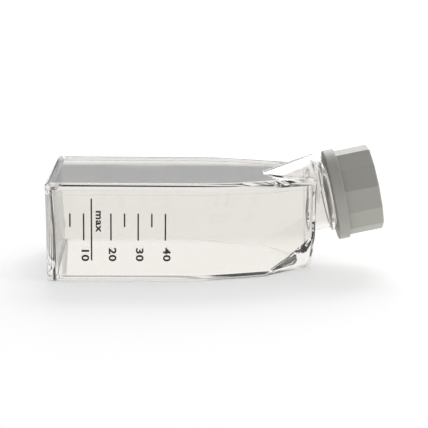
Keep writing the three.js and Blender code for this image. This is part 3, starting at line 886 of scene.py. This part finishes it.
def make_world():
    """A white backdrop up to the skyline, a dark studio, and a white screen behind the flask.

    Only the studio and the backdrop light matte surfaces; gloss and clear plastic show the screen.
    """
    world = bpy.data.worlds.new("studio")
    bpy.context.scene.world = world
    world.use_nodes = True
    tree = world.node_tree
    tree.nodes.clear()
    rays = node(tree, "ShaderNodeLightPath")
    direction = node(tree, "ShaderNodeTexCoord").outputs["Generated"]
    parts = node(tree, "ShaderNodeSeparateXYZ", None, {"Vector": direction})
    bearing, behind, height = parts.outputs["X"], parts.outputs["Y"], parts.outputs["Z"]
    steps = []
    for value, start, end in (
            (height, sine(SKYLINE - SKYLINE_FADE), sine(SKYLINE + SKYLINE_FADE)),
            (height, sine(ZENITH_FROM), sine(ZENITH_TO)),
            (height, sine(GAP_TOP), sine(GAP_TOP + GAP_FADE)),
            (behind, 0, BEHIND_FADE),
            (bearing, SCREEN_LEFT, SCREEN_LEFT + SCREEN_LEFT_FADE),
            (height, sine(SCREEN_TOP + SCREEN_FADE), sine(SCREEN_TOP)),
            (bearing, MIDDLE_LEFT, MIDDLE_LEFT + MIDDLE_FADE),
            (bearing, MIDDLE_RIGHT + MIDDLE_FADE, MIDDLE_RIGHT),
            (bearing, RIGHT_SIDE, RIGHT_SIDE + RIGHT_FADE)):
        steps.append(node(tree, "ShaderNodeMapRange", {"interpolation_type": "SMOOTHSTEP"}, {
            "Value": value, "From Min": start, "From Max": end}).outputs["Result"])
    above, overhead, over_gap, back, left, low, middle_from, middle_to, right = steps
    screen = node(tree, "ShaderNodeMath", {"operation": "MINIMUM"}, {
        0: middle_from, 1: middle_to}).outputs[0]
    for part in (low, right, rays.outputs["Is Glossy Ray"]):
        screen = node(tree, "ShaderNodeMath", {"operation": "MAXIMUM"}, {0: screen, 1: part}).outputs[0]
    shown = node(tree, "ShaderNodeMath", {"operation": "MAXIMUM"}, {
        0: rays.outputs["Is Transmission Ray"], 1: rays.outputs["Is Glossy Ray"]}).outputs[0]
    for part in (over_gap, back, left, shown):
        screen = node(tree, "ShaderNodeMath", {"operation": "MULTIPLY"}, {0: screen, 1: part}).outputs[0]
    colour = node(tree, "ShaderNodeMix", {"data_type": "RGBA"}, {
        "Factor": rays.outputs["Is Glossy Ray"], "A": linear(STUDIO), "B": linear(DUSK)})
    white = (1, 1, 1, 1)
    for factor, under, over in (
            (rays.outputs["Is Transmission Ray"], None, linear(NIGHT)),
            (overhead, None, linear(ZENITH)), (above, white, None), (screen, None, white)):
        last = colour.outputs["Result"]
        colour = node(tree, "ShaderNodeMix", {"data_type": "RGBA"}, {
            "Factor": factor, "A": under or last, "B": over or last})
    glow = node(tree, "ShaderNodeBackground", None, {"Color": colour.outputs["Result"], "Strength": 1.0})
    node(tree, "ShaderNodeOutputWorld", None, {"Surface": glow.outputs[0]})


def make_lamp(name, place, size, power):
    """A square soft lamp turned to the flask, left out of what the clear plastic lets through.

    Its place and size are in metres and its power is in watts.
    """
    data = bpy.data.lights.new(name, "AREA")
    data.size = size
    data.energy = power
    lamp = bpy.data.objects.new(name, data)
    bpy.context.scene.collection.objects.link(lamp)
    place = Vector(place)
    lamp.matrix_world = Matrix.Translation(place) @ place.to_track_quat("Z", "Y").to_matrix().to_4x4()
    lamp.visible_transmission = False


def make_camera():
    """Looks down 11.7 degrees at the near side, a little towards the neck."""
    data = bpy.data.cameras.new("camera")
    data.sensor_width = 36
    data.lens = CAMERA_LENS
    data.clip_end = 20
    camera = bpy.data.objects.new("camera", data)
    bpy.context.scene.collection.objects.link(camera)
    level = Vector((math.cos(CAMERA_YAW), -math.sin(CAMERA_YAW), 0))
    forward = Vector((math.sin(CAMERA_YAW), math.cos(CAMERA_YAW), 0))
    ahead = math.cos(CAMERA_PITCH) * forward - Vector((0, 0, math.sin(CAMERA_PITCH)))
    down = ahead.cross(level)
    right = math.cos(CAMERA_ROLL) * level + math.sin(CAMERA_ROLL) * down
    up = math.sin(CAMERA_ROLL) * level - math.cos(CAMERA_ROLL) * down
    turn = Matrix((right, up, -ahead)).transposed().to_4x4()
    camera.matrix_world = Matrix.Translation(CAMERA_PLACE) @ turn
    bpy.context.scene.camera = camera


# ------------------------------------------------------------------ assembly

scene = bpy.context.scene
scene.view_settings.view_transform = "Standard"
scene.cycles.max_bounces = 32
scene.cycles.transmission_bounces = 32
scene.cycles.glossy_bounces = 16

make_camera()
make_world()
make_floor()
make_lamp("back lamp", (0.18, 1.14, 0.84), 1.03, 11.7)
make_lamp("side lamp", (1.6, -0.27, 0.55), 0.8, 5.4)

CLEAR = clear_polystyrene()
GREY = grey_polyethylene()
FILM = white_membrane()
INK = printing_ink()

tray = smoothed(make_tray())
plate = smoothed(make_plate())
cap = smoothed(make_cap())
for piece, node_name, body, slot, material in (
        (tray, "flask_tray", "flask", "clear_polystyrene", CLEAR),
        (plate, "top_plate", "flask", "clear_polystyrene", CLEAR),
        (cap, "screw_cap", "cap", "grey_polyethylene", GREY)):
    paint(piece, material)
    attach(piece, body)
    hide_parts(node_name)

paint(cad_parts["filter_disc"], FILM)

for piece in make_scale():
    paint(piece, INK)
    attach(piece, "flask")
